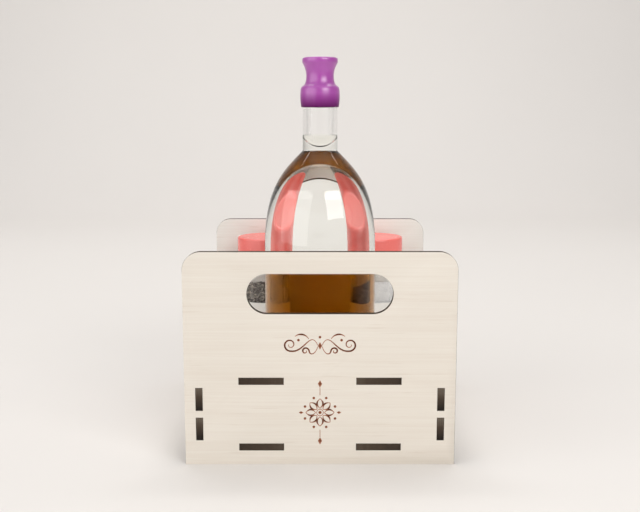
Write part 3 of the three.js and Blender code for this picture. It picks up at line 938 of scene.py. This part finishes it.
def jarProfile():
    foot, radius, recess = jar["footRound"], jar["radius"], jar["footRecess"]
    outside = [(0, recess), (radius - 2 * foot, recess)]
    outside += [(radius - jar["footRing"] * foot, 0), (radius - foot, 0)]
    outside += bow((radius - foot, 0), (radius, 0), (radius, foot), steps=8) + jarWallLine(0)
    soft, lip, neck = jar["lipRound"], jar["height"], jar["neckRadius"]
    outside += [(neck, lip - soft)] + bow((neck, lip - soft), (neck, lip), (neck - soft, lip), steps=5)
    wall, bend, base = radius - jar["wall"], foot / 2, jar["base"]
    inside = [(0, base), (wall - bend, base)]
    inside += bow((wall - bend, base), (wall, base), (wall, base + bend), steps=6)
    inside += jarWallLine(jar["wall"])
    mouth = neck - jar["wall"]
    inside += [(mouth, lip - soft / 2), (mouth + soft / 4, lip)]
    return outside + inside[::-1]


def fillProfile(wall, depth):
    bend, rings = jar["footRound"] / 2, filling["rings"]
    line = [(0, 0), (wall - bend, 0)] + bow((wall - bend, 0), (wall, 0), (wall, bend), steps=6)
    return line + [(wall * (rings - i) / rings, depth) for i in range(rings + 1)]


# The surface of the spice banks down to the back, and is left uneven, as it settles
def makeFill(name, stand, spice):
    wall = jar["radius"] - jar["wall"] - filling["gap"]
    depth = filling["top"] - jar["base"] - filling["gap"]
    piece = turnPiece(name, fillProfile(wall, depth), stand, filling["steps"])
    slope = math.tan(math.radians(spice["bank"]))
    for vertex in piece.data.vertices:
        away = (vertex.co - stand) / mm
        onTop = away.z > depth - 0.01
        # the edge stays on the glass, so only the rest is left uneven
        vertex.select = onTop and math.hypot(away.x, away.y) < wall - 1
        if onTop:
            vertex.co.z -= slope * (away.y + wall) * mm
    bpy.ops.object.mode_set(mode="EDIT")
    bpy.ops.mesh.select_mode(type="VERT")
    bpy.ops.transform.vertex_random(offset=spice["heap"] * mm, seed=spice["seed"])
    bpy.ops.object.mode_set(mode="OBJECT")
    return piece


# Each grain's own tone, and how far a point is from the grain's middle
def grains(finish, fineness):
    sockets = {"Vector": finish.place((fineness,) * 3), "Scale": 1, "Randomness": 1}
    colour = finish.node("ShaderNodeTexVoronoi", None, sockets, "Color")
    gap = finish.node("ShaderNodeTexVoronoi", None, sockets, "Distance")
    tone = finish.node("ShaderNodeSeparateColor", None, {"Color": colour}, "Red")
    return tone, gap


def spiceFinish(name, spice, colour):
    finish = Finish(name, {"Specular IOR Level": spice["gloss"]})
    tone, gap = grains(finish, spice["grains"])
    # painted shade darkens the crevices between the grains
    creviceShade = finish.between(gap, *spice["creviceShadeRange"])
    finish.feed("Base Color", finish.mix(creviceShade, colour(finish, tone), spice["gap"]))
    finish.feed("Roughness", spice["rough"] + spice["roughMore"] * tone)
    finish.bump(1 - gap, spice["depth"])
    return finish


def pepperColour(finish, tone):
    husk = finish.mix(finish.ramp(tone, pepper["brownStops"]), pepper["dark"], pepper["brown"])
    return finish.mix(finish.ramp(tone, pepper["paleStops"]), husk, pepper["pale"])


def saltColour(finish, tone):
    return finish.mix(tone, salt["pale"], salt["grey"])


def paperFinish(stand):
    side = "Left" if stand.x < 0 else "Right"
    finish = Finish("labelPaper" + side, {"Specular IOR Level": label["gloss"]})
    fibre = finish.noise(label["fibres"], 4, 0.65)
    cloud = finish.noise((label["clouds"],) * 3, 2, 0.5)
    share = label["fibreShare"]
    shade = finish.between(share * fibre + (1 - share) * cloud, *label["shadeRange"])
    sheet = finish.mix(shade, label["pale"], label["shade"])
    # the seam where the label meets itself, at the back of the jar
    aside = finish.between(abs(finish.axis("X") - stand.x) / mm, *label["seamWidth"])
    behind = finish.between((finish.axis("Y") - stand.y) / mm, 0, 1)
    seam = (1 - aside) * behind
    finish.feed("Base Color", finish.mix(label["seamShare"] * seam, sheet, label["seam"]))
    finish.feed("Roughness", label["rough"] + label["roughMore"] * fibre)
    finish.bump(fibre - label["seamDip"] * seam, label["fibreDepth"])
    return finish


def labelProfile():
    inner, outer, top = label["inner"], label["outer"], label["height"]
    soft = (outer - inner) / 3
    line = [(inner, 0), (outer - soft, 0), (outer, soft), (outer, top - soft)]
    return line + [(outer - soft, top), (inner, top), (inner, 0)]


def sifterProfile():
    neck, skirt, rest, soft = jar["neckRadius"], sifter["skirt"], sifter["depth"], sifter["round"]
    inner = skirt - sifter["wall"]
    top = rest + sifter["flange"]
    deck = top - sifter["deck"]
    line = [(0, deck), (inner, deck), (inner, soft), (inner + soft, 0), (skirt - soft, 0), (skirt, soft)]
    line += [(skirt, rest), (neck - soft, rest)]
    line += bow((neck - soft, rest), (neck, rest), (neck, rest + soft), steps=3)
    line += [(neck, top - soft)] + bow((neck, top - soft), (neck, top), (neck - soft, top), steps=3)
    dish = top - sifter["dish"]
    return line + [(skirt, top), (skirt - sifter["dishRun"], dish), (0, dish)]


def makeSifter(name, stand, spice):
    piece = turnPiece(name, sifterProfile(), stand, sifter["steps"])
    holes = [(sifter["mouthRadius"], 0, 0)]
    for i in range(spice["holes"]):
        angle = 2 * math.pi * i / spice["holes"]
        x, y = sifter["holeCircle"] * math.cos(angle), sifter["holeCircle"] * math.sin(angle)
        holes.append((spice["holeRadius"], x, y))
    drills, length = [], sifter["drill"] * mm
    for radius, x, y in holes:
        place = stand + Vector((x, y, sifter["depth"])) * mm
        bpy.ops.mesh.primitive_cylinder_add(vertices=32, radius=radius * mm, depth=length, location=place)
        drills.append(bpy.context.object)
    clearSelection()
    for drill in drills:
        drill.select_set(True)
    bpy.context.view_layer.objects.active = drills[0]
    bpy.ops.object.join()
    cutWith(piece, drills[0])
    cleanCuts(piece)
    smooth(shaping["smoothWithin"])
    return piece


def lidProfile():
    inner, outer, high = lid["inner"], lid["radius"], lid["height"]
    ceiling, edge, soft = high - lid["top"], lid["round"], lid["footRound"]
    line = [(0, ceiling), (inner, ceiling), (inner, soft), (inner + soft, 0)]
    line += [(outer - soft, 0), (outer, soft), (outer, high - edge)]
    line += bow((outer, high - edge), (outer, high), (outer - edge, high), steps=8)
    return line + [(0, high)]


jarFinish = glassFinish("jarGlass", jar["tint"], solid=jar["solid"])
lidFinish = plasticFinish("redLid", lid["rough"], lid["shine"])
lidFinish.feed("Base Color", clouded(lidFinish, lid["red"], lid["redDeep"]))
sifterFinish = plasticFinish("whiteSifter", sifter["rough"])
sifterFinish.feed("Base Color", clouded(sifterFinish, sifter["pale"], sifter["shade"]))
fillFinishes = {
    "pepper": spiceFinish("groundPepper", pepper, pepperColour),
    "salt": spiceFinish("fineSalt", salt, saltColour),
}
lidLinerProfile = discProfile(jar["neckRadius"], lid["linerThick"], lid["linerRound"])

for name, spice in spices.items():
    body, top = name + "_jar", name + "_top"
    stand = standOf(name + "_jar_glass")
    glass = turnPiece(name + "Jar", jarProfile(), stand)
    settle(glass, name + "_jar_glass", body, "jar_glass", jarFinish)
    fill = makeFill(name + "Fill", standOf(name + "_fill"), spice)
    settle(fill, name + "_fill", body, name, fillFinishes[name])
    band = turnPiece(name + "Label", labelProfile(), standOf(name + "_label"))
    settle(band, name + "_label", body, "label_paper", paperFinish(stand))
    plug = makeSifter(name + "Sifter", standOf(name + "_sifter"), spice)
    settle(plug, name + "_sifter", body, "sifter_plastic", sifterFinish)
    liner = turnPiece(name + "LidLiner", lidLinerProfile, standOf(name + "_lid_liner"), lid["linerSteps"])
    settle(liner, name + "_lid_liner", top, "liner_foam", linerFinish)
    cover = turnPiece(name + "Lid", lidProfile(), standOf(name + "_lid"))
    settle(cover, name + "_lid", top, "lid_plastic", lidFinish)
print("jars made")


# Stage: a pale sweep, two window-like soft lights, one from above, one on the sweep, and an even sky
stage = {
    "half": 2600, "back": 1900, "height": 2600, "sweep": 700, "sweepSteps": 24,
    "pale": paint(228, 224, 220), "paler": paint(231, 227, 223), "clouds": 3,
    "gloss": 0.2, "rough": 0.75, "roughMore": 0.1,
    "sky": (0.141, 0.1425, 0.15, 1), "skyShown": paint(192, 189, 185),
    "lampColour": (1, 0.992, 0.98),
}
lamps = {
    "leftWindow": {"place": (-1326, -895, 620), "aim": (0, 0, 120), "size": (2100, 1600), "power": 16.6},
    "rightWindow": {"place": (735, -1132, 800), "aim": (0, 0, 120), "size": (950, 750), "power": 11.3},
    "topFill": {"place": (0, 250, 1900), "aim": (0, 0, 120), "size": (1600, 1600), "power": 15.5},
    "wallWash": {"place": (0, 700, 2300), "aim": (0, 1900, 700), "size": (3000, 500), "power": 24},
}


# Into edit mode, with the edges selected whose ends both pass the test
def editEdges(piece, test):
    bpy.ops.object.mode_set(mode="EDIT")
    bpy.ops.mesh.select_mode(type="EDGE")
    bpy.ops.mesh.select_all(action="DESELECT")
    bpy.ops.object.mode_set(mode="OBJECT")
    for edge in piece.data.edges:
        edge.select = all(test(piece.data.vertices[i].co) for i in edge.vertices)
    bpy.ops.object.mode_set(mode="EDIT")


def makeSweep():
    clearSelection()
    bpy.ops.mesh.primitive_plane_add(size=2 * stage["half"] * mm)
    floor = bpy.context.object
    floor.name = "paleSweep"
    for vertex in floor.data.vertices:
        if vertex.co.y > 0:
            vertex.co.y = stage["back"] * mm
    editEdges(floor, lambda end: end.y > 0)
    bpy.ops.mesh.extrude_region_move(TRANSFORM_OT_translate={"value": (0, 0, stage["height"] * mm)})
    editEdges(floor, lambda end: end.y > 0 and abs(end.z) < mm)
    bpy.ops.mesh.bevel(offset=stage["sweep"] * mm, segments=stage["sweepSteps"])
    bpy.ops.object.mode_set(mode="OBJECT")
    bpy.ops.object.shade_smooth()
    finish = Finish("paleSweep", {"Specular IOR Level": stage["gloss"]})
    cloud = finish.noise((stage["clouds"],) * 3, 3, 0.5)
    finish.feed("Base Color", finish.mix(cloud, stage["pale"], stage["paler"]))
    finish.feed("Roughness", stage["rough"] + stage["roughMore"] * cloud)
    floor.data.materials.append(finish.material)


def makeLamps():
    for name, lamp in lamps.items():
        place, aim = Vector(lamp["place"]) * mm, Vector(lamp["aim"]) * mm
        turn = (aim - place).to_track_quat("-Z", "Y").to_euler()
        bpy.ops.object.light_add(type="AREA", location=place, rotation=turn)
        light = bpy.context.object
        light.name = name
        light.data.shape = "RECTANGLE"
        light.data.size = lamp["size"][0] * mm
        light.data.size_y = lamp["size"][1] * mm
        light.data.energy = lamp["power"]
        light.data.color = stage["lampColour"]


# The sky lights the pieces weakly, and shows paler past the sweep's edges and in gloss and glass
def makeSky():
    sky = Finish("evenSky", {"Strength": 1}, bpy.data.worlds, "Background")
    seen = sky.node("ShaderNodeLightPath", output="Is Camera Ray")
    for ray in ("Is Glossy Ray", "Is Transmission Ray"):
        seen = seen + sky.node("ShaderNodeLightPath", output=ray)
    sky.feed("Color", sky.mix(sky.between(seen, 0, 1), stage["sky"], stage["skyShown"]))
    bpy.context.scene.world = sky.material


makeSweep()
makeLamps()
makeSky()
print("stage lit")
